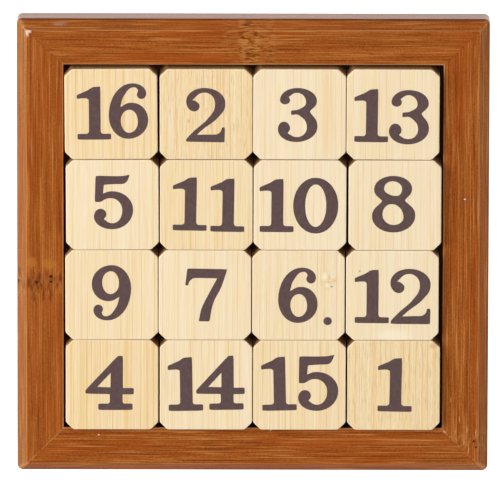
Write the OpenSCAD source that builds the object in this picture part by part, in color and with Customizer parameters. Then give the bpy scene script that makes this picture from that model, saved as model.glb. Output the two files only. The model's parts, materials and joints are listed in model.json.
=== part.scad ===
// Number tile puzzle. A square tray of four mitred rails and a base panel let into
// their underside holds sixteen loose square tiles, which stand proud of the rails.
// Millimetres. +X is east, +Y is north, +Z is up, with the origin at the middle of the underside.

/* [Frame] */
// Outside width of the square frame
frame_w = 150; // [146:0.5:156]
// Height of the rails
frame_h = 9.5; // [8:0.1:11]
// Width of the chamfer round the outside, seen from above
chamfer_w = 3.1; // [1:0.1:5]
// Height of the same chamfer
chamfer_h = 3; // [1:0.1:4.5]
// Radius of the upright corners
corner_r = 1.8; // [0.5:0.1:3]

/* [Well] */
// Width of the square well that holds the tiles
well_w = 120.5; // [120.5:0.1:122]
// How far east of the frame's middle the well lies
well_east = 0.1; // [0:0.05:0.2]
// How far north of the frame's middle the well lies
well_north = 0.35; // [-0.5:0.05:0.5]
// Width of the broken edge round the top of the well
well_edge = 0.25; // [0.1:0.05:1]

/* [Base panel] */
// Thickness of the panel
panel_h = 3; // [2:0.1:5]
// How far the rails overlap the panel's edge
panel_lap = 5; // [2:0.5:8]
// Gap left for glue round the panel's edge
glue_gap = 0.1; // [0.05:0.05:0.5]

/* [Tiles] */
// Width of a tile, across the grain
tile_w = 29.45; // [28.5:0.05:29.45]
// Length of a tile, along the grain
tile_l = 29.8; // [28.5:0.05:29.8]
// Thickness of a tile
tile_h = 9.1; // [5:0.1:12]
// Size of the cut across each upright corner
corner_cut = 2.4; // [0.5:0.1:4]
// Width of the broken edge round the top face
tile_edge = 0.35; // [0.1:0.05:0.6]
// Usual gap between one column of tiles and the next
column_gap = 0.4; // [0.3:0.05:0.45]
// Gap between one row of tiles and the next
row_gap = 0.12; // [0.12:0.01:0.2]
// Gap between the southern row and its rail
south_gap = 0.1; // [0.1:0.05:0.4]

/* [Hidden] */
$fn = 48;
COUNT = 16;
// Which number lies in each place, from the northern row to the southern
LAYOUT = [
    [16,  2,  3, 13],
    [ 5, 11, 10,  8],
    [ 9,  7,  6, 12],
    [ 4, 14, 15,  1]
];
// The tiles lie loose, so each one is a little east or west of its column's middle
NUDGE_EAST = [
    [-0.4, -0.1, -0.3, -0.5],
    [ 0,    0,   -0.1,  0.2],
    [-0.2, -0.4, -0.5, -0.5],
    [-0.1,  0,   -0.1,  0]
];
// and the northern row is a little further north
NUDGE_NORTH = [0.1, 0, 0, 0];
// Each tile's turn in degrees, anticlockwise from above
TURN = [
    [0.45, 0.1, -0.1, -0.2],
    [0.3,  0,   -0.1,  0],
    [0.2,  0,    0,    0],
    [0,    0,    0,    0]
];

wall_h = frame_h - chamfer_h;
west = well_east - well_w / 2;
east = well_east + well_w / 2;
south = well_north - well_w / 2;
north = well_north + well_w / 2;
half = frame_w / 2;
over = 1;
// How much shorter a corner cut gets when the outline moves in by tile_edge
bevel_cut = tile_edge * (2 - sqrt(2));

rail_colour = [0.64, 0.35, 0.15];
panel_colour = [0.45, 0.25, 0.12];
tile_colour = [0.95, 0.87, 0.70];

function tile_name(number) = str("tile_", number < 10 ? "0" : "", number);
function column_x(column) = well_east + (column - 1.5) * (tile_w + column_gap);
function row_y(row) = south + south_gap + tile_l / 2 + (3 - row) * (tile_l + row_gap) + NUDGE_NORTH[row];

// ---- profiles ----

// The frame seen from one side: upright walls below, chamfers above
module frame_profile() {
    polygon([
        [-half, 0],
        [half, 0],
        [half, wall_h],
        [half - chamfer_w, frame_h],
        [-half + chamfer_w, frame_h],
        [-half, wall_h]
    ]);
}

// The well seen from one side, flared at the top by its broken edge
module well_profile(low, high) {
    polygon([
        [low, panel_h],
        [high, panel_h],
        [high, frame_h - well_edge],
        [high + well_edge + over, frame_h + over],
        [low - well_edge - over, frame_h + over],
        [low, frame_h - well_edge]
    ]);
}

// A square with round corners
module round_square(size, r) {
    square([size - 2 * r, size], center = true);
    square([size, size - 2 * r], center = true);
    for (x = [-1, 1], y = [-1, 1])
        translate([x * (size / 2 - r), y * (size / 2 - r)])
            circle(r = r);
}

// A square with its four corners cut off
module cut_square(w, l, cut) {
    x = w / 2;
    y = l / 2;
    polygon([
        [-x + cut, -y], [x - cut, -y], [x, -y + cut], [x, y - cut],
        [x - cut, y], [-x + cut, y], [-x, y - cut], [-x, -y + cut]
    ]);
}

// ---- frame ----

// All four rails as one ring, with the well and the panel's recess cut out
module ring() {
    difference() {
        intersection() {
            linear_extrude(frame_h) round_square(frame_w, corner_r);
            rotate([90, 0, 0]) linear_extrude(frame_w, center = true) frame_profile();
            rotate([90, 0, 90]) linear_extrude(frame_w, center = true) frame_profile();
        }
        intersection() {
            rotate([90, 0, 0]) linear_extrude(frame_w, center = true) well_profile(west, east);
            rotate([90, 0, 90]) linear_extrude(frame_w, center = true) well_profile(south, north);
        }
        translate([west - panel_lap, south - panel_lap, -over])
            cube([well_w + 2 * panel_lap, well_w + 2 * panel_lap, panel_h + over]);
    }
}

// One rail: the stretch of the ring between the mitres at two corners
module rail(outer_1, outer_2, inner_2, inner_1) {
    color(rail_colour)
        intersection() {
            ring();
            linear_extrude(frame_h) polygon([outer_1, outer_2, inner_2, inner_1]);
        }
}

module rail_north() {
    rail([-half, half], [half, half], [east, north], [west, north]);
}

module rail_east() {
    rail([half, half], [half, -half], [east, south], [east, north]);
}

module rail_south() {
    rail([half, -half], [-half, -half], [west, south], [east, south]);
}

module rail_west() {
    rail([-half, -half], [-half, half], [west, north], [west, south]);
}

// Thin board glued up into the recess, flush with the rails' underside
module base_panel() {
    size = well_w + 2 * panel_lap - 2 * glue_gap;
    color(panel_colour)
        translate([west - panel_lap + glue_gap, south - panel_lap + glue_gap, 0])
            cube([size, size, panel_h]);
}

// ---- tiles ----

// A flat block with cut corners and a broken top edge, standing on z = 0
module block() {
    hull() {
        linear_extrude(tile_h - tile_edge)
            cut_square(tile_w, tile_l, corner_cut);
        linear_extrude(tile_h)
            cut_square(tile_w - 2 * tile_edge, tile_l - 2 * tile_edge, corner_cut - bevel_cut);
    }
}

// The tile that carries this number, lying in its place on the panel
module tile(number) {
    for (row = [0:3], column = [0:3])
        if (LAYOUT[row][column] == number)
            color(tile_colour)
                translate([column_x(column) + NUDGE_EAST[row][column], row_y(row), panel_h])
                    rotate(TURN[row][column])
                        block();
}

rail_north();
rail_east();
rail_south();
rail_west();
base_panel();
for (number = [1:COUNT])
    tile(number);
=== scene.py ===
"""Number tile puzzle: a tray of carbonised bamboo with sixteen natural bamboo tiles.

Lengths are in millimetres where a name ends in _MM or a comment says so, and in metres elsewhere.
+X is east, +Y is north and +Z is up, as in the CAD model.
"""

import json
import math
from typing import NamedTuple

import bmesh
import bpy
from mathutils import Matrix, Vector
from mathutils.geometry import tessellate_polygon

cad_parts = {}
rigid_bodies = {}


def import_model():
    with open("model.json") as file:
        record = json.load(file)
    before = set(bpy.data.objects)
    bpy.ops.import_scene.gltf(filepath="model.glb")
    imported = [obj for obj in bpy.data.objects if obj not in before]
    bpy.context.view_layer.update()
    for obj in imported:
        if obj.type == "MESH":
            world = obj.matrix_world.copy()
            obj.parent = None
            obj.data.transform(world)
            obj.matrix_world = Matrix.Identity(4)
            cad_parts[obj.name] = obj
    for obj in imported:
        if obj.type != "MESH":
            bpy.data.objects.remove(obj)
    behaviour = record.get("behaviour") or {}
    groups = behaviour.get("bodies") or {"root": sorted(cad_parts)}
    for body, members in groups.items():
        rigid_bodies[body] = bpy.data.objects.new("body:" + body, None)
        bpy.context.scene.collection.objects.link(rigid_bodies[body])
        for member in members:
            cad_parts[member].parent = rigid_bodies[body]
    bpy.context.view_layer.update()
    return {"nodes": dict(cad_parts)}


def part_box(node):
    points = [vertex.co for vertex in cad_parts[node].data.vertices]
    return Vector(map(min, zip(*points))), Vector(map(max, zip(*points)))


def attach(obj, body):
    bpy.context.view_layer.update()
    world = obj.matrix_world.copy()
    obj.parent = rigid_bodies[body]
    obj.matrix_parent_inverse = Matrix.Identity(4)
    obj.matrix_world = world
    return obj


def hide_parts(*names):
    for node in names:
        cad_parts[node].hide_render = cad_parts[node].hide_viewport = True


for leftover in list(bpy.data.objects):
    bpy.data.objects.remove(leftover)

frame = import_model()

MM = 0.001

# ---- driving dimensions, in millimetres, as in the CAD model ----
CHAMFER_W_MM, CHAMFER_H_MM = 3.1, 3.0
CORNER_R_MM = 1.8
HALF_FRAME_MM = 75.0
WELL_EDGE_MM = 0.25
PANEL_LAP_MM = 5.0
CORNER_CUT_MM = 2.4
TILE_EDGE_MM = 0.35
TILE_SIZE_MM = (29.45, 29.8)
TILE_COUNT = 16

# ---- rounds that only this model has, in millimetres ----
# The rails' outside, at the underside, below the chamfer and above it
FOOT_R_MM, SILL_R_MM, BROW_R_MM = 0.35, 0.7, 0.6
# The least radius of the frame's upright corners, where the chamfer has closed in on them
LEAST_CORNER_R_MM = 0.9
# The well's upright corners, which are all but sharp
WELL_CORNER_R_MM = 0.02
# The bends of a tile's outline, and the round of its lower edge with the inset at its middle
TILE_BEND_R_MM = 1.3
TILE_FOOT_R_MM, TILE_FOOT_MIDDLE_MM = 0.25, 0.07


# ---- meshes ----

def fillet(corner, before, after, radius, steps):
    """Points of the round that replaces a corner between two straight stretches, in a plane."""
    a = (Vector(before) - Vector(corner)).normalized()
    b = (Vector(after) - Vector(corner)).normalized()
    half = a.angle(b) / 2
    back = radius / math.tan(half)
    centre = Vector(corner) + (a + b).normalized() * (radius / math.sin(half))
    start = Vector(corner) + a * back - centre
    end = Vector(corner) + b * back - centre
    turn = start.angle(end)
    points = []
    for i in range(steps + 1):
        t = i / steps
        blend = (start * math.sin((1 - t) * turn) + end * math.sin(t * turn)) / math.sin(turn)
        points.append(tuple(centre + blend))
    return points


def mesh_object(name, vertices, faces, material, sharp_deg=45):
    """A smooth-shaded closed mesh. Vertices are in millimetres in the row frame."""
    mesh = bpy.data.meshes.new(name)
    mesh.from_pydata([(x * MM, y * MM, z * MM) for x, y, z in vertices], [], faces)
    bm = bmesh.new()
    bm.from_mesh(mesh)
    bmesh.ops.recalc_face_normals(bm, faces=bm.faces)
    bm.to_mesh(mesh)
    bm.free()
    mesh.shade_smooth()
    mesh.set_sharp_from_angle(angle=math.radians(sharp_deg))
    mesh.materials.append(material)
    piece = bpy.data.objects.new(name, mesh)
    bpy.context.scene.collection.objects.link(piece)
    normals = piece.modifiers.new("even_shading", "WEIGHTED_NORMAL")
    normals.keep_sharp = True
    return piece


def box_mm(node):
    """A CAD node's lowest and highest corners, in millimetres."""
    return [[c / MM for c in corner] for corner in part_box(node)]


# ---- node helpers ----

class Nodes:
    """A short way to write a material's node tree."""

    def __init__(self, name):
        self.material = bpy.data.materials.new(name)
        self.material.use_nodes = True
        self.tree = self.material.node_tree
        self.tree.nodes.clear()
        self.shader = self.tree.nodes.new("ShaderNodeBsdfPrincipled")
        output = self.tree.nodes.new("ShaderNodeOutputMaterial")
        self.tree.links.new(self.shader.outputs[0], output.inputs[0])

    def put(self, socket, value):
        if isinstance(value, bpy.types.NodeSocket):
            self.tree.links.new(value, socket)
        else:
            socket.default_value = value

    def node(self, kind, inputs=(), **settings):
        made = self.tree.nodes.new(kind)
        for key, value in settings.items():
            setattr(made, key, value)
        for key, value in dict(inputs).items():
            self.put(made.inputs[key], value)
        return made

    def math(self, operation, a, b=0.0, c=0.0, clamp=False):
        made = self.node("ShaderNodeMath", {0: a, 1: b, 2: c}, operation=operation, use_clamp=clamp)
        return made.outputs[0]

    def vector(self, operation, a, b):
        return self.node("ShaderNodeVectorMath", {0: a, 1: b}, operation=operation).outputs[0]

    def noise(self, vector, scale, detail=2.0, roughness=0.5, distortion=0.0):
        """Noise from 0 to 1 in coordinates that are first scaled along each axis, per millimetre."""
        scaled = self.vector("MULTIPLY", vector, scale)
        inputs = {"Vector": scaled, "Scale": 1.0, "Detail": detail, "Roughness": roughness,
                  "Distortion": distortion}
        return self.node("ShaderNodeTexNoise", inputs).outputs["Fac"]

    def ramp(self, value, stops):
        """Colours or greys at places from 0 to 1, blended between."""
        made = self.node("ShaderNodeValToRGB", {0: value})
        elements = made.color_ramp.elements
        while len(elements) < len(stops):
            elements.new(0.5)
        for element, (place, colour) in zip(elements, stops):
            rgb = colour if isinstance(colour, tuple) else (colour,) * 3
            element.position, element.color = place, (*rgb, 1.0)
        return made.outputs[0]

    def mix(self, share, a, b, blend="MIX"):
        made = self.node("ShaderNodeMix", data_type="RGBA", blend_type=blend)
        self.put(made.inputs["Factor"], share)
        self.put(made.inputs[6], a if isinstance(a, bpy.types.NodeSocket) else (*a, 1.0))
        self.put(made.inputs[7], b if isinstance(b, bpy.types.NodeSocket) else (*b, 1.0))
        return made.outputs[2]

    def cover(self, under, share, strength, over):
        """One colour over another where share is 1, as strongly as strength says."""
        return self.mix(self.math("MULTIPLY", share, strength), under, over)

    def place_mm(self, shift=(0, 0, 0), turn_deg=0):
        """The surface's own place in millimetres, turned about +Z and then shifted."""
        where = self.node("ShaderNodeTexCoord").outputs["Object"]
        inputs = {"Vector": where, "Location": shift, "Scale": (1 / MM,) * 3,
                  "Rotation": (0, 0, math.radians(turn_deg))}
        return self.node("ShaderNodeMapping", inputs).outputs[0]

    def split(self, vector):
        return self.node("ShaderNodeSeparateXYZ", {0: vector}).outputs

    def step(self, value, low, high):
        """0 below low and 1 above high, smoothly; low may be above high, which turns it round."""
        inputs = {"Value": value, "From Min": low, "From Max": high}
        made = self.node("ShaderNodeMapRange", inputs, interpolation_type="SMOOTHSTEP")
        return made.outputs[0]

    def hump(self, value, low, middle, high):
        """1 at middle and 0 below low and above high."""
        return self.math("MULTIPLY", self.step(value, low, middle), self.step(value, high, middle))

    def normal(self):
        """The surface's own direction, as x, y and z."""
        return self.split(self.node("ShaderNodeNewGeometry").outputs["Normal"])

    def spot(self, centre_mm, reach_mm, ragged):
        """1 at a place on the top face and 0 beyond its reach along x and y, with a ragged edge."""
        where = self.vector("SUBTRACT", self.place_mm(), (*centre_mm, 0))
        scaled = self.vector("MULTIPLY", where, (1 / reach_mm[0], 1 / reach_mm[1], 0))
        length = self.node("ShaderNodeVectorMath", {0: scaled}, operation="LENGTH").outputs["Value"]
        rough = self.noise(self.place_mm(), (1.3, 0.9, 0.9), detail=2)
        length = self.math("ADD", length, self.math("MULTIPLY_ADD", rough, ragged, -ragged / 2))
        return self.step(length, 1.0, 0.3)

    def marked(self, colour, marks, upward, middle=(0, 0), ragged=0.5):
        """A colour with spots over it, on the faces where upward is 1.

        marks are (x, y, reach along x, reach along y, colour, strength), in millimetres from middle.
        """
        for x, y, reach_x, reach_y, mark_colour, strength in marks:
            spot = self.spot((middle[0] + x, middle[1] + y), (reach_x, reach_y), ragged)
            colour = self.cover(colour, self.math("MULTIPLY", spot, upward), strength, mark_colour)
        return colour

    def bump(self, height, strength, distance_mm):
        inputs = {"Height": height, "Strength": strength, "Distance": distance_mm * MM}
        self.put(self.shader.inputs["Normal"], self.node("ShaderNodeBump", inputs).outputs[0])

    def finish(self, **sockets):
        for key, value in sockets.items():
            self.put(self.shader.inputs[key.replace("_", " ")], value)
        return self.material


def stripes(n, place, width_mm, share):
    """1 on thin lines along the grain, which is local X, and 0 between them."""
    bent = n.noise(place, (0.02, 0.15, 0.15), detail=1)
    wander = n.math("MULTIPLY_ADD", bent, 1.2, n.split(place)[1])
    cells = n.node("ShaderNodeTexVoronoi", {"W": wander, "Scale": 1 / width_mm},
                   voronoi_dimensions="1D", feature="DISTANCE_TO_EDGE")
    near = n.math("DIVIDE", cells.outputs["Distance"], share)
    return n.math("SUBTRACT", 1.0, near, clamp=True)


# ---- materials ----

# The tiles' pale bamboo, and what marks it
PALE, TAN, CREAM = (0.785, 0.672, 0.468), (0.715, 0.480, 0.205), (0.82, 0.73, 0.54)
STAIN, HONEY, BURN = (0.40, 0.31, 0.17), (0.62, 0.40, 0.17), (0.12, 0.08, 0.05)
# The rails' dark bamboo, from its darkest streaks to its lightest
CARAMEL = [
    (0.22, (0.140, 0.027, 0.003)),
    (0.50, (0.288, 0.071, 0.0085)),
    (0.78, (0.430, 0.145, 0.030)),
]
RUSSET, TAR, STRAW = (0.310, 0.058, 0.005), (0.105, 0.018, 0.003), (0.52, 0.22, 0.060)
# What marks the rails
HOLE, RUST, AMBER = (0.03, 0.006, 0.002), (0.130, 0.022, 0.004), (0.47, 0.19, 0.03)
GLINT, DULL_GLINT, FLECK = (0.90, 0.82, 0.74), (0.42, 0.30, 0.24), (0.56, 0.30, 0.12)
WORN_CORNER = (0.62, 0.42, 0.29)


class RailWood(NamedTuple):
    """What sets one rail apart from the others': its wood, and the light and shade painted on it.

    knots are the joints in the cane, as (place along the grain, half width, depth), and marks are
    as in Nodes.marked. Both are in millimetres in the row frame.
    """

    turn_deg: float  # turns the grain onto local X
    shift: tuple  # where in the noise the wood lies
    vigour: float  # how strong its streaks are
    painted_light_tint: tuple  # painted light and shade: multiplies the chamfer's colour, as light falls on that side
    gloss: float  # lacquer added on the chamfer
    rim: float  # painted shade: how dark the chamfer's outer rim is
    wall_shade: float  # multiplies the outer wall's colour
    knots: list
    marks: list


# From the north clockwise, as the sides are numbered
RAIL_WOODS = {
    "rail_north": RailWood(
        turn_deg=0, shift=(0, 0, 0), vigour=0.90,
        painted_light_tint=(0.86, 0.86, 0.82), gloss=0.0, rim=0.62, wall_shade=0.50,
        knots=[(-1.0, 6.0, 1.0), (-8.0, 2.6, 0.6), (5.5, 3.0, 0.5)],
        marks=[(-71.1, 71.5, 1.1, 0.7, GLINT, 0.6), (-61.5, 73.6, 3.0, 0.8, DULL_GLINT, 0.25)],
    ),
    "rail_east": RailWood(
        turn_deg=90, shift=(0, 31, 0), vigour=0.86,
        painted_light_tint=(0.94, 1.06, 1.20), gloss=0.06, rim=0.34, wall_shade=0.68,
        knots=[(64.0, 5.0, 0.6)],
        marks=[
            (70.5, -64.3, 0.5, 0.6, HOLE, 0.9), (71.2, -66.3, 0.6, 0.5, HOLE, 0.9),
            (68.4, -60.5, 0.25, 2.0, FLECK, 0.7), (66.0, -57.0, 0.25, 1.4, FLECK, 0.6),
            (64.6, -61.2, 0.25, 1.4, FLECK, 0.6), (68.9, -67.2, 0.25, 1.6, FLECK, 0.6),
            (71.2, -61.5, 0.25, 1.8, FLECK, 0.6), (67.4, -64.8, 0.25, 1.3, FLECK, 0.6),
            (63.2, -50.5, 0.25, 1.5, FLECK, 0.6), (67.3, 16.3, 0.5, 0.3, GLINT, 0.7),
        ],
    ),
    "rail_south": RailWood(
        turn_deg=0, shift=(0, 57, 0), vigour=1.0,
        painted_light_tint=(0.86, 0.80, 0.60), gloss=0.0, rim=0.36, wall_shade=0.68,
        knots=[],
        marks=[
            (61.5, -61.0, 0.9, 0.8, WORN_CORNER, 0.6), (-49.0, -62.4, 0.4, 0.3, GLINT, 0.7),
            (5.8, -60.6, 0.3, 0.4, GLINT, 0.8),
        ],
    ),
    "rail_west": RailWood(
        turn_deg=90, shift=(0, 83, 0), vigour=0.70,
        painted_light_tint=(0.98, 1.22, 1.02), gloss=0.45, rim=0.12, wall_shade=0.68,
        knots=[(12.0, 6.5, 0.6)],
        marks=[
            (-70.2, -5.0, 2.2, 2.6, AMBER, 0.45), (-64.8, -5.6, 3.2, 2.2, AMBER, 0.35),
            (-66.5, -11.5, 9.5, 4.2, RUST, 0.32), (-71.6, 71.0, 0.7, 1.7, GLINT, 0.55),
            (-64.2, -9.6, 0.8, 0.8, HOLE, 0.95), (-64.2, -11.4, 0.7, 0.6, HOLE, 0.85),
            (-68.8, -11.6, 0.8, 0.8, HOLE, 0.8), (-74.4, -11.7, 0.6, 0.8, HOLE, 0.75),
            (-68.2, -10.6, 0.9, 1.6, HOLE, 0.35), (-64.3, -15.8, 0.6, 3.0, RUST, 0.75),
            (-66.6, -15.5, 0.6, 3.4, RUST, 0.75), (-71.4, -11.9, 0.6, 2.6, RUST, 0.7),
            (-61.3, -10.0, 0.7, 2.0, RUST, 0.7), (-74.2, -8.6, 0.7, 2.2, RUST, 0.6),
            (-69.6, -16.5, 0.6, 2.6, RUST, 0.6), (-67.9, -9.2, 0.8, 1.4, RUST, 0.6),
        ],
    ),
}


def rail_streaks(n, place, vigour):
    """The colour of the streaks along the grain, and the noises that other details follow."""
    broad = n.noise(place, (0.012, 0.40, 0.3), detail=3)
    strand = n.noise(place, (0.012, 2.4, 2.0), detail=3, roughness=0.6)
    fibre = n.noise(place, (0.08, 4.8, 3.0), detail=2, roughness=0.6)
    speckle = n.noise(place, (2.0, 4.0, 3.0), detail=1)
    strengths = 0.48 * vigour, 0.52 * vigour, 0.60 * vigour
    # Half the strengths are taken off, so that vigour leaves the mean tone as it is
    tone = n.math("MULTIPLY_ADD", broad, 0.30, n.math("MULTIPLY", strand, strengths[0]))
    tone = n.math("MULTIPLY_ADD", fibre, strengths[1], n.math("ADD", tone, 0.35 - sum(strengths) / 2))
    tone = n.math("MULTIPLY_ADD", speckle, strengths[2], tone)
    colour = n.ramp(tone, CARAMEL)
    warm = n.noise(place, (0.018, 0.16, 0.1), detail=2)
    colour = n.cover(colour, n.step(warm, 0.46, 0.66), 0.45, RUSSET)
    patchy = n.noise(place, (0.05, 0.7, 0.5), detail=1)
    dash = n.noise(place, (0.045, 4.0, 2.5), detail=1, roughness=0.5)
    dark = n.math("MULTIPLY", n.step(dash, 0.56, 0.66), n.step(patchy, 0.40, 0.58))
    colour = n.cover(colour, dark, 0.85 * vigour, TAR)
    light = n.math("MULTIPLY", n.step(dash, 0.43, 0.34), n.step(patchy, 0.58, 0.42))
    colour = n.cover(colour, light, 0.75 * vigour, STRAW)
    seams = n.math("MULTIPLY", stripes(n, place, 2.6, 0.055), n.step(fibre, 0.42, 0.60))
    colour = n.cover(colour, seams, 0.60 * vigour, (0.60, 0.28, 0.090))
    return colour, broad, strand, fibre, patchy


def cane_joint(n, colour, place, along, broad, knot):
    """A band across the rail where the cane had a joint: mottled pale and burnt."""
    centre_mm, half_mm, depth = knot
    off = n.math("ABSOLUTE", n.math("SUBTRACT", along, centre_mm))
    off = n.math("ADD", off, n.math("MULTIPLY_ADD", broad, half_mm, -half_mm / 2))
    band = n.step(off, half_mm, half_mm * 0.3)
    mottle = n.noise(place, (0.42, 2.0, 1.6), detail=3, roughness=0.55, distortion=0.5)
    pale = n.math("MULTIPLY", band, n.step(mottle, 0.52, 0.40))
    burnt = n.math("MULTIPLY", band, n.step(mottle, 0.55, 0.62))
    colour = n.cover(colour, pale, 0.60 * depth, (0.47, 0.21, 0.050))
    return n.cover(colour, burnt, 0.80 * depth, (0.100, 0.020, 0.003))


def mitre_glue(n, colour, flat):
    """A ragged line of glue along the mitres: dark at the northern corners, pale at the southern."""
    off = n.math("SUBTRACT", n.math("ABSOLUTE", flat[0]), n.math("ABSOLUTE", flat[1]))
    speck = n.noise(n.place_mm(), (0.9, 0.9, 0.9), detail=2)
    off = n.math("MULTIPLY_ADD", speck, 0.8, n.math("SUBTRACT", off, 0.4))
    glue = n.math("MULTIPLY", n.hump(off, -0.32, 0.0, 0.32), n.step(speck, 0.40, 0.54))
    glue_colour = n.mix(n.step(flat[1], 10.0, -10.0), (0.130, 0.028, 0.005), (0.48, 0.25, 0.110))
    return n.cover(colour, glue, 0.55, glue_colour)


def carbonised_bamboo(name, wood, well):
    """Caramel bamboo under satin lacquer, darker on the walls, with painted light and shade: pale
    along the arrises as wear and painted highlight, and painted shade on the outer rims and in the
    well.

    well is the well's middle x and y and half its width, in millimetres.
    """
    n = Nodes(name)
    place = n.place_mm(wood.shift, wood.turn_deg)
    along = n.split(n.place_mm((0, 0, 0), wood.turn_deg))[0]
    colour, broad, strand, fibre, patchy = rail_streaks(n, place, wood.vigour)
    for knot in wood.knots:
        colour = cane_joint(n, colour, place, along, broad, knot)
    flat = n.split(n.place_mm())
    colour = mitre_glue(n, colour, flat)

    out_x = n.math("ABSOLUTE", n.math("SUBTRACT", flat[0], well[0]))
    out_y = n.math("ABSOLUTE", n.math("SUBTRACT", flat[1], well[1]))
    from_well = n.math("SUBTRACT", n.math("MAXIMUM", out_x, out_y), well[2])
    from_edge = n.math("MAXIMUM", n.math("ABSOLUTE", flat[0]), n.math("ABSOLUTE", flat[1]))
    from_edge = n.math("SUBTRACT", HALF_FRAME_MM, from_edge)
    up = n.normal()[2]

    # Painted light and shade by side: each chamfer's colour is multiplied by its rail's own factor,
    # paler on the west and darker on the north and south.
    slope = n.math("MULTIPLY", n.hump(up, 0.50, 0.70, 0.92), n.step(from_well, 4.0, 6.0))
    colour = n.mix(slope, colour, n.mix(1.0, colour, wood.painted_light_tint, "MULTIPLY"))
    # Pale in patches along the arrises and the well's lip: wear, and a painted highlight where the
    # rounded lacquer catches the light.
    wear_and_highlight = n.math("MAXIMUM", n.hump(up, 0.70, 0.86, 0.995), n.hump(from_well, -0.15, 0.15, 0.65))
    wear_and_highlight = n.math("MULTIPLY", wear_and_highlight, n.step(patchy, 0.25, 0.60))
    colour = n.cover(colour, wear_and_highlight, 0.60, (0.60, 0.30, 0.110))
    colour = n.marked(colour, wood.marks, n.step(up, 0.10, 0.45), ragged=0.7)

    # Painted shade: each chamfer's outer rim, as dark as its rail says, and the rounds that turn from
    # the chamfer and the lip down to the walls, go nearly black.
    outermost = n.math("MULTIPLY", n.step(from_edge, 0.70, 0.15), n.step(up, 0.1, 0.3))
    below = n.math("MULTIPLY", n.hump(up, 0.08, 0.34, 0.62), 0.85)
    painted_rim_shade = n.math("MAXIMUM", n.math("MULTIPLY", outermost, wood.rim), below)
    colour = n.mix(painted_rim_shade, colour, (0.045, 0.010, 0.004))
    wall = n.step(up, 0.20, 0.02)
    colour = n.mix(wall, colour, n.mix(1.0, colour, (wood.wall_shade,) * 3, "MULTIPLY"))
    # Painted shade: the well's inner walls, down in the gaps beside the tiles, go nearly black.
    inner_wall_shade = n.math("MULTIPLY", wall, n.step(from_well, 2.0, 1.0))
    colour = n.mix(inner_wall_shade, colour, (0.035, 0.009, 0.003))

    n.bump(n.math("MULTIPLY_ADD", strand, 0.6, n.math("MULTIPLY", fibre, 0.4)), 0.22, 0.06)
    roughness = n.math("MULTIPLY_ADD", fibre, 0.15, 0.42)
    coat = n.math("MULTIPLY", n.math("SUBTRACT", wall, inner_wall_shade), 0.62)
    coat = n.math("MULTIPLY_ADD", n.hump(up, 0.70, 0.87, 1.0), 0.40, coat)
    coat = n.math("MULTIPLY_ADD", slope, wood.gloss, coat)
    return n.finish(Base_Color=colour, Roughness=roughness, Specular_IOR_Level=0.05,
                    Coat_Weight=coat, Coat_Roughness=0.16)


def panel_bamboo():
    """Plain dark board. The grain runs along Y."""
    n = Nodes("bamboo_panel")
    place = n.place_mm((0, 11, 5), 90)
    strand = n.noise(place, (0.04, 1.2, 1.2), detail=4, roughness=0.6)
    colour = n.ramp(strand, [(0.30, (0.060, 0.022, 0.007)), (0.70, (0.135, 0.055, 0.018))])
    n.bump(strand, 0.25, 0.08)
    roughness = n.math("MULTIPLY_ADD", strand, 0.2, 0.55)
    return n.finish(Base_Color=colour, Roughness=roughness, Specular_IOR_Level=0.2)


def tile_grain(n, place, warmth, lines, dashes):
    """The colour of a tile's lines along the grain, and the noises that the finish follows."""
    broad = n.noise(place, (0.008, 0.24, 0.2), detail=1)
    strand = n.noise(place, (0.012, 1.6, 1.0), detail=3, roughness=0.6)
    fibre = n.noise(place, (0.12, 3.9, 2.5), detail=2, roughness=0.6)
    tone = n.math("MULTIPLY_ADD", broad, 0.40, n.math("MULTIPLY", strand, 0.90 + 0.3 * lines))
    tone = n.math("MULTIPLY_ADD", fibre, 0.85 + 0.2 * lines, tone)
    tone = n.math("ADD", tone, 0.42 * warmth - 0.85 - 0.25 * lines)
    colour = n.ramp(tone, [
        (0.00, PALE),
        (0.25, (0.768, 0.630, 0.410)),
        (0.55, (0.752, 0.576, 0.318)),
        (1.00, TAN),
    ])
    hue = n.noise(place, (0.010, 0.75, 0.5), detail=2)
    rosy = n.mix(1.0, colour, (1.0, 0.975, 1.04), "MULTIPLY")
    straw = n.mix(1.0, colour, (1.0, 1.01, 0.98), "MULTIPLY")
    colour = n.mix(n.step(hue, 0.35, 0.65), rosy, straw)
    seams = n.math("MULTIPLY", stripes(n, place, 2.2, 0.07), n.step(strand, 0.42, 0.58))
    colour = n.cover(colour, seams, 0.40 + 0.4 * lines, (0.58, 0.34, 0.12))
    pale_lines = stripes(n, n.vector("ADD", place, (0, 17, 0)), 2.9, 0.06)
    colour = n.cover(colour, pale_lines, 0.4, (0.80, 0.71, 0.54))
    if dashes:
        short = n.noise(place, (0.20, 4.4, 2.0), detail=2, roughness=0.6)
        colour = n.cover(colour, n.step(short, 0.56, 0.64), dashes, (0.50, 0.31, 0.13))
    return colour, strand, fibre


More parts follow.
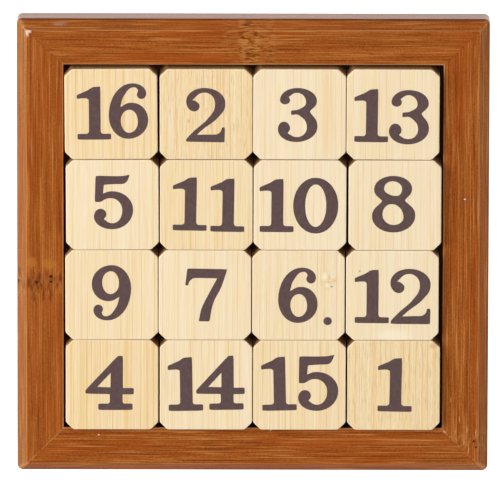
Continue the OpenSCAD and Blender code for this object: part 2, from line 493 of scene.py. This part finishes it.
def tile_sides(n, colour, facing, top_mm):
    """A tile's colour with its bevel pale, a painted highlight, its flanks tan as painted shade, and
    its ends and corner cuts darker, as end grain and painted shade.
    """
    side = n.step(facing[2], 0.35, 0.10)
    lengthwise = n.math("ABSOLUTE", facing[1])
    depth = n.math("SUBTRACT", top_mm, n.split(n.place_mm())[2])
    # Painted highlight: the bevel's upper part pale.
    colour = n.cover(colour, n.hump(facing[2], 0.30, 0.75, 0.99), 0.75, (0.88, 0.81, 0.67))
    # Painted shade, warm: the bevel's steep part orange-brown where it turns down into the gaps.
    colour = n.cover(colour, n.hump(facing[2], -0.05, 0.25, 0.70), 0.75, (0.74, 0.40, 0.12))
    # Painted shade: the flanks, which face across the gaps between columns, tan.
    flank = n.math("MULTIPLY", side, n.step(lengthwise, 0.50, 0.20))
    colour = n.cover(colour, flank, 0.6, (0.54, 0.27, 0.070))
    # The ends dark as end grain, and the corner cuts a saturated orange-brown as painted light bounced
    # through the wood.
    pith = n.noise(n.place_mm(), (1.6, 1.6, 1.6), detail=2)
    end_grain_and_shade_colour = n.ramp(pith, [(0.35, (0.150, 0.064, 0.018)), (0.65, (0.300, 0.145, 0.044))])
    end_grain_and_shade_colour = n.cover(end_grain_and_shade_colour, n.hump(lengthwise, 0.50, 0.70, 0.90), 0.8, (0.310, 0.088, 0.010))
    end = n.math("MULTIPLY", side, n.step(lengthwise, 0.30, 0.80))
    # Painted shade: the end colour comes in from 0.2 to 1.3 mm below the top, darker down the gaps.
    end = n.math("MULTIPLY", end, n.step(depth, 0.2, 1.3))
    return n.cover(colour, end, 0.9, end_grain_and_shade_colour)


def natural_bamboo(name, middle, warmth, lines, dashes, marks):
    """Pale sanded bamboo. The grain runs along Y, so it is turned onto local X.

    middle is the middle of the tile's top in millimetres, warmth, lines and dashes say how strong
    each is, and marks are as in Nodes.marked, from that middle.
    """
    n = Nodes(name)
    place = n.place_mm((7.3 * middle[1], 3.1 * middle[0], 40 * warmth), 90)
    colour, strand, fibre = tile_grain(n, place, warmth, lines, dashes)
    facing = n.normal()
    colour = n.marked(colour, marks, n.step(facing[2], -0.5, 0.0), middle)
    colour = tile_sides(n, colour, facing, middle[2])
    n.bump(n.math("MULTIPLY_ADD", strand, 0.5, n.math("MULTIPLY", fibre, 0.5)), 0.15, 0.05)
    roughness = n.math("MULTIPLY_ADD", fibre, 0.12, 0.55)
    return n.finish(Base_Color=colour, Roughness=roughness, Specular_IOR_Level=0.25)


def numeral_ink():
    """Dark plum-brown screen ink, thin enough for the grain to show through."""
    n = Nodes("numeral_ink")
    place = n.place_mm((0, 0, 0), 90)
    fibre = n.noise(place, (0.5, 4.0, 3.0), detail=3)
    blotch = n.noise(place, (0.8, 0.8, 0.8), detail=3)
    tone = n.math("MULTIPLY_ADD", fibre, 0.5, n.math("MULTIPLY", blotch, 0.5))
    colour = n.ramp(tone, [(0.3, (0.072, 0.042, 0.040)), (0.7, (0.112, 0.068, 0.064))])
    specks = n.noise(place, (1.9, 1.9, 1.9), detail=1)
    colour = n.cover(colour, n.step(specks, 0.74, 0.80), 0.5, (0.34, 0.22, 0.16))
    n.bump(fibre, 0.2, 0.03)
    return n.finish(Base_Color=colour, Roughness=0.6, Specular_IOR_Level=0.2)


# ---- tray ----

def outer_profile(wall_mm, height_mm):
    """(distance in from the outside, height) from the underside up to the flat top."""
    low, sill = (0, 0), (0, wall_mm)
    brow = (CHAMFER_W_MM, height_mm)
    points = fillet(low, (1, 0), sill, FOOT_R_MM, 3)
    points += fillet(sill, low, brow, SILL_R_MM, 4)
    points += fillet(brow, sill, (CHAMFER_W_MM + 1, height_mm), BROW_R_MM, 4)
    return points


def inner_profile(height_mm, panel_mm):
    """(distance out from the well's wall, height) from the flat top down to the underside."""
    lip, foot = (0, height_mm), (0, panel_mm)
    points = fillet(lip, (1, height_mm), foot, WELL_EDGE_MM, 4)
    return points + [foot, (PANEL_LAP_MM, panel_mm), (PANEL_LAP_MM, 0)]


def side_points(bounds, radius, side):
    """Points of one side of a rounded rectangle, from one corner's middle to the next, clockwise.

    bounds is [west, south, east, north]. side is 0 for north, 1 east, 2 south and 3 west.
    """
    west, south, east, north = bounds
    corners = [
        (west, north, -1, 1), (east, north, 1, 1), (east, south, 1, -1), (west, south, -1, -1),
    ]
    arc_steps, long_steps = 4, 24
    first, last = corners[side], corners[(side + 1) % 4]
    heading = 90 - 90 * side
    points = []
    for (x, y, sx, sy), start, stop in ((first, 45, 0), (last, 0, -45)):
        cx, cy = x - sx * radius, y - sy * radius
        for i in range(arc_steps + 1):
            angle = math.radians(heading + start + (stop - start) * i / arc_steps)
            points.append((cx + radius * math.cos(angle), cy + radius * math.sin(angle)))
    a, b = Vector(points[arc_steps]), Vector(points[arc_steps + 1])
    middle = [tuple(a.lerp(b, i / long_steps)) for i in range(1, long_steps)]
    return points[: arc_steps + 1] + middle + points[arc_steps + 1:]


def rail(node, side, outer, well, profiles, material):
    """One mitred rail, swept along its side of the frame with its arrises rounded."""
    outer_part, inner_part = profiles
    rows = []
    for inset, z in outer_part:
        bounds = [outer[0] + inset, outer[1] + inset, outer[2] - inset, outer[3] - inset]
        radius = max(CORNER_R_MM - inset, LEAST_CORNER_R_MM)
        rows.append([(x, y, z) for x, y in side_points(bounds, radius, side)])
    for outset, z in inner_part:
        bounds = [well[0] - outset, well[1] - outset, well[2] + outset, well[3] + outset]
        rows.append([(x, y, z) for x, y in side_points(bounds, WELL_CORNER_R_MM, side)])
    columns = len(rows[0])
    vertices = [v for row in rows for v in row]
    faces = []
    for r in range(len(rows)):
        here, after = r * columns, (r + 1) % len(rows) * columns
        for c in range(columns - 1):
            faces.append((here + c, here + c + 1, after + c + 1, after + c))
    faces.append([r * columns for r in range(len(rows))])
    faces.append([r * columns + columns - 1 for r in range(len(rows))])
    piece = mesh_object(node + "_lacquered", vertices, faces, material)
    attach(piece, "tray")
    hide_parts(node)


def build_tray():
    north, south = box_mm("rail_north"), box_mm("rail_south")
    west, east = box_mm("rail_west"), box_mm("rail_east")
    outer = [west[0][0], south[0][1], east[1][0], north[1][1]]
    well = [west[1][0], south[1][1], east[0][0], north[0][1]]
    height = north[1][2]
    panel_top = box_mm("base_panel")[1][2]
    profiles = outer_profile(height - CHAMFER_H_MM, height), inner_profile(height, panel_top)
    middle = ((well[0] + well[2]) / 2, (well[1] + well[3]) / 2, (well[2] - well[0]) / 2)
    for side, (node, wood) in enumerate(RAIL_WOODS.items()):
        material = carbonised_bamboo(node.replace("rail", "bamboo"), wood, middle)
        rail(node, side, outer, well, profiles, material)
    panel = frame["nodes"]["base_panel"]
    panel.data.materials.clear()
    panel.data.materials.append(panel_bamboo())


# ---- tiles ----

def tile_outline(inset):
    """A tile's outline about its middle: a rectangle with cut corners and softened bends."""
    x, y = TILE_SIZE_MM[0] / 2 - inset, TILE_SIZE_MM[1] / 2 - inset
    cut = CORNER_CUT_MM - inset * (2 - math.sqrt(2))
    corners = [
        (-x + cut, -y), (x - cut, -y), (x, -y + cut), (x, y - cut),
        (x - cut, y), (-x + cut, y), (-x, y - cut), (-x, -y + cut),
    ]
    points = []
    for i, corner in enumerate(corners):
        points += fillet(corner, corners[i - 1], corners[(i + 1) % len(corners)], TILE_BEND_R_MM, 3)
    return points


def tile_turn(node):
    """How far a CAD tile is turned about +Z: its west face's two lowest corners are furthest west."""
    low = min(v.co.z for v in node.data.vertices)
    foot = [v.co for v in node.data.vertices if v.co.z < low + 1e-5]
    base = {(round(co.x, 6), round(co.y, 6)) for co in foot}
    (x1, y1), (x2, y2) = sorted(base)[:2]
    if y2 < y1:
        x1, y1, x2, y2 = x2, y2, x1, y1
    return math.atan2(x1 - x2, y2 - y1)


def tile_frame(name):
    """The matrix from a tile's own millimetres, from the middle of its top, to the row frame's."""
    low, high = box_mm(name)
    top = Vector(((low[0] + high[0]) / 2, (low[1] + high[1]) / 2, high[2]))
    return Matrix.Translation(top) @ Matrix.Rotation(tile_turn(frame["nodes"][name]), 4, "Z")


def tile(name, material):
    """A tile with a softened edge all round, top and bottom."""
    low, high = box_mm(name)
    height = high[2] - low[2]
    edge, steps = TILE_EDGE_MM, 3
    rings = [
        (TILE_FOOT_R_MM, -height),
        (TILE_FOOT_MIDDLE_MM, TILE_FOOT_MIDDLE_MM - height),
        (0.0, TILE_FOOT_R_MM - height),
    ]
    for i in range(steps + 1):
        angle = math.radians(90 * i / steps)
        rings.append((edge * (1 - math.cos(angle)), edge * (math.sin(angle) - 1)))
    place = tile_frame(name)
    vertices, faces = [], []
    for inset, z in rings:
        vertices += [tuple(place @ Vector((x, y, z))) for x, y in tile_outline(inset)]
    count = len(vertices) // len(rings)
    for r in range(len(rings) - 1):
        here, above = r * count, (r + 1) * count
        for c in range(count):
            d = (c + 1) % count
            faces.append((here + c, here + d, above + d, above + c))
    faces.append(list(range(count)))
    faces.append([(len(rings) - 1) * count + c for c in range(count)])
    piece = mesh_object(name + "_block", vertices, faces, material)
    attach(piece, name)
    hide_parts(name)


# ---- numerals ----

# Each figure is drawn in millimetres from the left end of its base line. An outline's points each
# say which way the line runs there: h level, v upright, a along the line between its neighbours,
# and k a corner.
SIX = [
    [(0, 7.6, "v"), (7.5, 18.3, "h"), (11.9, 15.0, "v"), (10.4, 13.15, "h"), (8.95, 14.65, "v"),
     (9.35, 15.9, "a"), (8.1, 17.05, "h"), (4.8, 14.2, "a"), (3.6, 10.4, "k"), (7.3, 11.9, "h"),
     (12.45, 6.2, "v"), (6.1, 0, "h")],
    [(3.75, 6.1, "v"), (6.6, 9.65, "h"), (9.25, 5.6, "v"), (6.4, 1.9, "h")],
]
FIGURES = {
    "0": [
        [(0, 9.2, "v"), (7.1, 18.4, "h"), (14.2, 9.2, "v"), (7.1, 0, "h")],
        [(3.65, 9.2, "v"), (7.1, 16.35, "h"), (10.55, 9.2, "v"), (7.1, 2.05, "h")],
    ],
    "1": [
        [(0, 0, "k"), (0, 1.85, "k"), (2.7, 1.85, "h"), (3.65, 2.8, "v"), (3.65, 12.9, "v"),
         (2.5, 13.7, "h"), (-0.15, 13.5, "k"), (-0.15, 14.7, "k"), (3.1, 16.15, "a"),
         (5.9, 17.4, "h"), (7.3, 17.5, "k"), (7.3, 2.8, "v"), (8.2, 1.85, "h"), (10.6, 1.85, "k"),
         (10.6, 0, "k")],
    ],
    "2": [
        [(0, 13.4, "v"), (5.85, 17.9, "h"), (12.45, 12.9, "v"), (10.2, 8.2, "a"), (5.6, 4.3, "a"),
         (3.55, 2.35, "k"), (9.0, 2.5, "h"), (11.0, 3.4, "a"), (11.55, 5.0, "k"), (12.45, 4.9, "k"),
         (12.4, 0, "k"), (0.2, 0, "k"), (0.3, 0.9, "a"), (3.0, 3.9, "a"), (7.1, 7.9, "a"),
         (9.2, 12.7, "v"), (5.8, 16.35, "h"), (1.8, 13.75, "k"), (2.9, 13.55, "a"),
         (4.3, 11.8, "v"), (2.6, 10.05, "h")],
    ],
    "3": [
        [(0.65, 13.9, "v"), (6.2, 17.9, "h"), (12.4, 13.6, "v"), (10.1, 10.15, "k"),
         (12.6, 5.1, "v"), (5.8, 0, "h"), (0, 4.2, "v"), (1.95, 6.75, "h"), (3.9, 4.5, "v"),
         (3.05, 2.95, "k"), (6.2, 1.65, "h"), (9.25, 4.9, "v"), (6.8, 8.85, "a"), (4.2, 9.0, "k"),
         (4.2, 10.4, "k"), (6.8, 10.9, "a"), (8.95, 13.1, "v"), (6.1, 16.3, "h"),
         (3.4, 14.95, "k"), (3.85, 13.8, "v"), (2.3, 12.45, "h")],
    ],
    "4": [
        [(10.2, 17.6, "k"), (11.65, 17.6, "k"), (11.55, 7.0, "k"), (15.0, 7.0, "k"),
         (15.0, 5.15, "k"), (11.5, 5.15, "k"), (11.45, 2.75, "v"), (12.3, 1.85, "h"),
         (14.6, 1.85, "k"), (14.6, 0, "k"), (4.05, 0, "k"), (4.05, 1.85, "k"), (6.8, 1.85, "h"),
         (7.7, 2.75, "v"), (7.65, 5.25, "k"), (0, 5.4, "k"), (0, 6.4, "k")],
        [(8.0, 12.5, "k"), (3.35, 7.4, "k"), (7.95, 7.2, "k")],
    ],
    "5": [
        [(0.6, 17.65, "k"), (8.6, 17.5, "a"), (11.35, 17.95, "k"), (10.2, 15.6, "a"),
         (8.3, 15.0, "h"), (3.1, 14.8, "k"), (2.8, 11.7, "k"), (5.8, 12.5, "h"), (12.35, 6.4, "v"),
         (5.75, 0, "h"), (0, 4.1, "v"), (2.0, 6.7, "h"), (3.85, 4.9, "v"), (2.95, 3.3, "k"),
         (5.9, 1.85, "h"), (9.05, 6.2, "v"), (5.3, 10.35, "h"), (1.9, 9.05, "k"), (0.3, 9.1, "k")],
    ],
    "6": SIX,
    "7": [
        [(0.6, 17.4, "k"), (13.2, 17.4, "k"), (11.4, 11.5, "a"), (9.0, 6.2, "a"), (7.85, 0, "k"),
         (4.55, 0, "k"), (5.4, 4.3, "a"), (7.9, 9.8, "a"), (10.2, 14.4, "k"), (3.4, 14.4, "h"),
         (1.35, 13.3, "a"), (0.9, 11.85, "k"), (0, 11.85, "k")],
    ],
    "8": [
        [(6.7, 18.6, "h"), (12.55, 14.5, "v"), (10.2, 10.6, "k"), (13.6, 5.6, "v"), (6.7, 0, "h"),
         (0, 5.25, "v"), (3.3, 10.35, "k"), (0.65, 14.2, "v")],
        [(6.5, 17.0, "h"), (9.55, 14.4, "v"), (7.9, 11.95, "h"), (4.6, 12.9, "a"),
         (3.65, 14.6, "v")],
        [(6.1, 9.45, "h"), (10.05, 4.9, "v"), (6.8, 2.3, "h"), (3.15, 5.9, "v")],
    ],
    "9": [[(12.45 - x, 18.3 - y, way) for x, y, way in outline] for outline in SIX],
    ".": [[(0, 1.28, "v"), (1.28, 2.56, "h"), (2.56, 1.28, "v"), (1.28, 0, "h")]],
}

# Each tile's print: how far it is turned in degrees, how far its ink has spread, and each figure
# with its place from the tile's middle and its size
PRINTS = {
    1: (-1.0, 0.03, [("1", -4.9, -8.7, 1.02)]),
    2: (-1.0, 0.00, [("2", -6.4, -9.1, 1.0)]),
    3: (0.0, 0.00, [("3", -6.9, -9.05, 1.0)]),
    4: (0.2, 0.13, [("4", -8.35, -8.25, 1.01)]),
    5: (0.0, 0.07, [("5", -5.8, -8.0, 1.0)]),
    6: (0.0, 0.07, [("6", -6.4, -9.1, 1.0), (".", 8.0, -9.8, 1.0)]),
    7: (-1.0, 0.05, [("7", -6.3, -8.65, 1.0)]),
    8: (0.0, 0.10, [("8", -7.2, -8.85, 1.0)]),
    9: (-0.4, 0.06, [("9", -6.3, -8.4, 1.0)]),
    10: (-0.3, 0.08, [("1", -12.65, -8.85, 1.0), ("0", -2.1, -9.25, 1.0)]),
    11: (-0.9, 0.02, [("1", -10.5, -8.5, 1.01), ("1", 1.45, -8.7, 1.01)]),
    12: (-0.4, 0.06, [("1", -11.8, -9.15, 1.01), ("2", -0.6, -9.35, 1.02)]),
    13: (-0.5, 0.05, [("1", -12.15, -9.05, 1.0), ("3", -1.2, -9.65, 1.0)]),
    14: (0.8, 0.14, [("1", -11.85, -8.4, 1.01), ("4", -3.0, -8.2, 1.01)]),
    15: (1.2, 0.07, [("1", -11.9, -8.25, 1.02), ("5", -0.45, -8.6, 1.03)]),
    16: (0.0, 0.03, [("1", -10.65, -8.3, 1.0), ("6", -0.7, -8.1, 1.0)]),
}

FILM_MM = 0.03
CURVE_STEPS = 9
# How far a curve's handles reach towards the next point: near a quarter round, and on a slope
ROUND_REACH, SLOPE_REACH = 0.56, 0.36


def handle(point, before, other):
    """Where the line from a point towards another one heads: the point's Bezier handle."""
    x, y, way = point
    dx, dy = other[0] - x, other[1] - y
    reach = math.hypot(dx, dy)
    if way == "h":
        return (x + ROUND_REACH * dx, y)
    if way == "v":
        return (x, y + ROUND_REACH * dy)
    if way == "k":
        return (x + dx / 3, y + dy / 3)
    tx, ty = other[0] - before[0], other[1] - before[1]
    length = math.hypot(tx, ty)
    return (x + SLOPE_REACH * reach * tx / length, y + SLOPE_REACH * reach * ty / length)


def trace(outline):
    """A closed polygon along an outline's points, curved as their letters say."""
    points = []
    for i, p in enumerate(outline):
        q = outline[(i + 1) % len(outline)]
        before, after = outline[i - 1], outline[(i + 2) % len(outline)]
        a, b = handle(p, before, q), handle(q, after, p)
        for step in range(CURVE_STEPS):
            t = step / CURVE_STEPS
            w = ((1 - t) ** 3, 3 * t * (1 - t) ** 2, 3 * t * t * (1 - t), t ** 3)
            points.append(tuple(
                w[0] * p[k] + w[1] * a[k] + w[2] * b[k] + w[3] * q[k] for k in range(2)))
    return points


def soften(polygon, reach_mm=0.22):
    """Rounds a polygon's corners a little, as ink does, by averaging along its edge."""
    count = len(polygon)
    softened = []
    for i in range(count):
        near = [polygon[i]]
        for direction in (-1, 1):
            travelled, j = 0.0, i
            while travelled < reach_mm:
                k = (j + direction) % count
                gap = math.dist(polygon[j], polygon[k])
                share = min(1.0, (reach_mm - travelled) / gap) if gap else 1.0
                travelled += max(gap, 1e-6)
                a, b = polygon[j], polygon[k]
                near.append(b if share >= 1.0 else tuple(a[m] + share * (b[m] - a[m]) for m in (0, 1)))
                j = k
        softened.append(tuple(sum(p[m] for p in near) / len(near) for m in (0, 1)))
    return softened


def spread(polygon, by_mm):
    """Moves a polygon's edge outwards, or inwards when by_mm is negative."""
    count = len(polygon)
    area = 0.0
    for i, (x, y) in enumerate(polygon):
        area += polygon[i - 1][0] * y - x * polygon[i - 1][1]
    by_mm = math.copysign(by_mm, by_mm * area)
    moved = []
    for i, (x, y) in enumerate(polygon):
        before, after = polygon[i - 1], polygon[(i + 1) % count]
        along = (after[0] - before[0], after[1] - before[1])
        length = math.hypot(*along) or 1.0
        moved.append((x + by_mm * along[1] / length, y - by_mm * along[0] / length))
    return moved


def numeral(number, material):
    """A tile's printed number: a thin film of ink on its top face."""
    turn_deg, bold_mm, figures = PRINTS[number]
    name = f"tile_{number:02d}"
    place = tile_frame(name) @ Matrix.Rotation(math.radians(turn_deg), 4, "Z")
    vertices, faces = [], []
    for figure, left, base, size in figures:
        loops = []
        for i, outline in enumerate(FIGURES[figure]):
            edge = spread(soften(trace(outline)), -bold_mm if i else bold_mm)
            loops.append([(size * x + left, size * y + base) for x, y in edge])
        flat = [p for loop in loops for p in loop]
        count, start = len(flat), len(vertices)
        for z in (-FILM_MM / 3, FILM_MM):
            vertices += [tuple(place @ Vector((x, y, z))) for x, y in flat]
        for a, b, c in tessellate_polygon([[Vector((x, y, 0)) for x, y in loop] for loop in loops]):
            faces.append((start + c, start + b, start + a))
            faces.append((start + count + a, start + count + b, start + count + c))
        first = start
        for loop in loops:
            for i in range(len(loop)):
                j = (i + 1) % len(loop)
                faces.append((first + i, first + j, first + count + j, first + count + i))
            first += len(loop)
    piece = mesh_object(name + "_numeral", vertices, faces, material, sharp_deg=30)
    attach(piece, name)


# How warm each tile's bamboo is, from 0 to 1, and how strong its lines are, 1 being strong
WOODS = {
    1: (0.75, 0.8), 2: (0.75, 0.9), 3: (0.0, 0.3), 4: (0.9, 1.2), 5: (0.15, 0.4), 6: (0.15, 0.3),
    7: (0.1, 0.5), 8: (0.0, 0.2), 9: (0.45, 0.6), 10: (0.0, 0.3), 11: (0.5, 0.9), 12: (0.0, 0.2),
    13: (0.2, 0.4), 14: (0.22, 1.1), 15: (0.55, 0.9), 16: (0.75, 1.0),
}
# How strong the short dashes are on the tiles cut nearer the cane's skin
DASHES = {1: 0.5, 2: 0.45, 6: 0.15}
# Knots, stains and pores, as in Nodes.marked, from the tile's middle
MARKS = {
    1: [(12.6, 13.2, 1.6, 1.6, HONEY, 0.8)],
    2: [(-5.5, -2.2, 0.6, 0.9, STAIN, 0.6)],
    3: [(8.5, 0, 2.2, 30, TAN, 0.35)],
    4: [(4.6, 0, 1.4, 30, TAN, 0.55), (-9.4, 0, 1.2, 30, TAN, 0.4)],
    6: [(9.8, 4.8, 3.0, 4.0, HONEY, 0.2), (8.3, 6.2, 1.2, 1.8, CREAM, 0.8),
        (10.9, 6.6, 0.8, 1.2, CREAM, 0.6), (9.2, 3.4, 1.2, 1.0, CREAM, 0.6),
        (7.3, 4.4, 0.35, 1.6, HONEY, 0.4), (9.8, 6.0, 0.35, 1.2, HONEY, 0.6),
        (11.6, 5.0, 0.9, 0.8, HONEY, 0.6), (9.9, 4.4, 1.2, 0.3, HONEY, 0.5),
        (10.5, 2.9, 0.5, 0.35, BURN, 0.8), (11.0, 6.9, 0.3, 0.3, BURN, 0.35)],
    12: [(0.5, -13.4, 8.0, 3.2, CREAM, 0.6), (-10.4, 8.1, 0.4, 0.4, BURN, 0.7)],
    14: [(-12.6, 0, 1.3, 9, STAIN, 0.12)],
    16: [(4.0, 0, 0.8, 30, HONEY, 0.35)],
}


def build_tiles():
    ink = numeral_ink()
    for number in range(1, TILE_COUNT + 1):
        name = f"tile_{number:02d}"
        middle = tuple(tile_frame(name).translation)
        warmth, lines = WOODS[number]
        tile(name, natural_bamboo(f"bamboo_{number:02d}", middle, warmth, lines,
                                  DASHES.get(number, 0.0), MARKS.get(number, ())))
        numeral(number, ink)


# ---- studio ----

def floor():
    """A plain pale floor that glows a little, so that it stays white up to the horizon."""
    n = Nodes("floor")
    grain = n.noise(n.place_mm(), (0.02, 0.02, 0.02))
    n.finish(Base_Color=n.ramp(grain, [(0.3, 0.90), (0.7, 0.92)]), Roughness=0.9,
             Emission_Color=(1.0, 1.0, 1.0, 1.0), Emission_Strength=0.75)
    half = 40.0
    corners = [(-half, -half, 0), (half, -half, 0), (half, half, 0), (-half, half, 0)]
    mesh = bpy.data.meshes.new("floor")
    mesh.from_pydata(corners, [], [(0, 1, 2, 3)])
    mesh.materials.append(n.material)
    plane = bpy.data.objects.new("floor", mesh)
    bpy.context.scene.collection.objects.link(plane)


def area_light(name, azimuth_deg, elevation_deg, distance, size, strength):
    """A square soft light aimed at the puzzle. Azimuth is from north, clockwise from above.

    strength 1 alone would make a white surface that faces it white.
    """
    azimuth, elevation = math.radians(azimuth_deg), math.radians(elevation_deg)
    level = math.cos(elevation)
    away = Vector((math.sin(azimuth) * level, math.cos(azimuth) * level, math.sin(elevation)))
    data = bpy.data.lights.new(name, "AREA")
    data.shape = "SQUARE"
    data.size = size
    data.energy = strength * (math.pi * distance) ** 2
    light = bpy.data.objects.new(name, data)
    light.location = away * distance
    light.rotation_euler = away.to_track_quat("Z", "Y").to_euler()
    light.visible_camera = False
    bpy.context.scene.collection.objects.link(light)


def world():
    """A pale room, brighter near the horizon than overhead."""
    scene = bpy.context.scene
    scene.world = bpy.data.worlds.new("studio")
    scene.world.use_nodes = True
    tree = scene.world.node_tree
    tree.nodes.clear()
    where = tree.nodes.new("ShaderNodeTexCoord")
    split = tree.nodes.new("ShaderNodeSeparateXYZ")
    ramp = tree.nodes.new("ShaderNodeValToRGB")
    background = tree.nodes.new("ShaderNodeBackground")
    output = tree.nodes.new("ShaderNodeOutputWorld")
    tree.links.new(where.outputs["Generated"], split.inputs[0])
    tree.links.new(split.outputs[2], ramp.inputs[0])
    tree.links.new(ramp.outputs[0], background.inputs[0])
    tree.links.new(background.outputs[0], output.inputs[0])
    elements = ramp.color_ramp.elements
    elements[0].position, elements[0].color = 0.0, (1.0, 1.0, 1.0, 1.0)
    elements[1].position, elements[1].color = 0.6, (0.12, 0.12, 0.12, 1.0)
    background.inputs["Strength"].default_value = 0.9


def camera():
    """A long lens far away, tilted north of straight above, as the picture was taken."""
    tilt_north, roll = math.radians(16.9), math.radians(0.12)
    distance = 6.0
    view_width = 0.1592
    aim_right, aim_up = -0.92 * MM, -0.73 * MM
    back = Vector((0, math.sin(tilt_north), math.cos(tilt_north)))
    up = Vector((0, math.cos(tilt_north), -math.sin(tilt_north)))
    east = Vector((1, 0, 0))
    right = east * math.cos(roll) + up * math.sin(roll)
    up = up * math.cos(roll) - east * math.sin(roll)
    data = bpy.data.cameras.new("camera")
    data.sensor_width = 36
    data.lens = data.sensor_width * distance / view_width
    data.clip_start, data.clip_end = 0.1, 50
    cam = bpy.data.objects.new("camera", data)
    turned = Matrix((right, up, back)).transposed().to_4x4()
    target = right * aim_right + up * aim_up
    cam.matrix_world = Matrix.Translation(target + back * distance) @ turned
    bpy.context.scene.collection.objects.link(cam)
    bpy.context.scene.camera = cam


def studio():
    """Floor, room, a key light from the west and two weak fills."""
    floor()
    world()
    area_light("key", -75, 42, distance=1.6, size=0.9, strength=1.02)
    area_light("fill_north", 10, 60, distance=1.8, size=1.0, strength=0.18)
    area_light("fill_south_east", 130, 45, distance=1.8, size=1.0, strength=0.35)
    settings = bpy.context.scene.view_settings
    settings.view_transform = "Standard"
    settings.look = "None"


camera()
build_tray()
build_tiles()
studio()
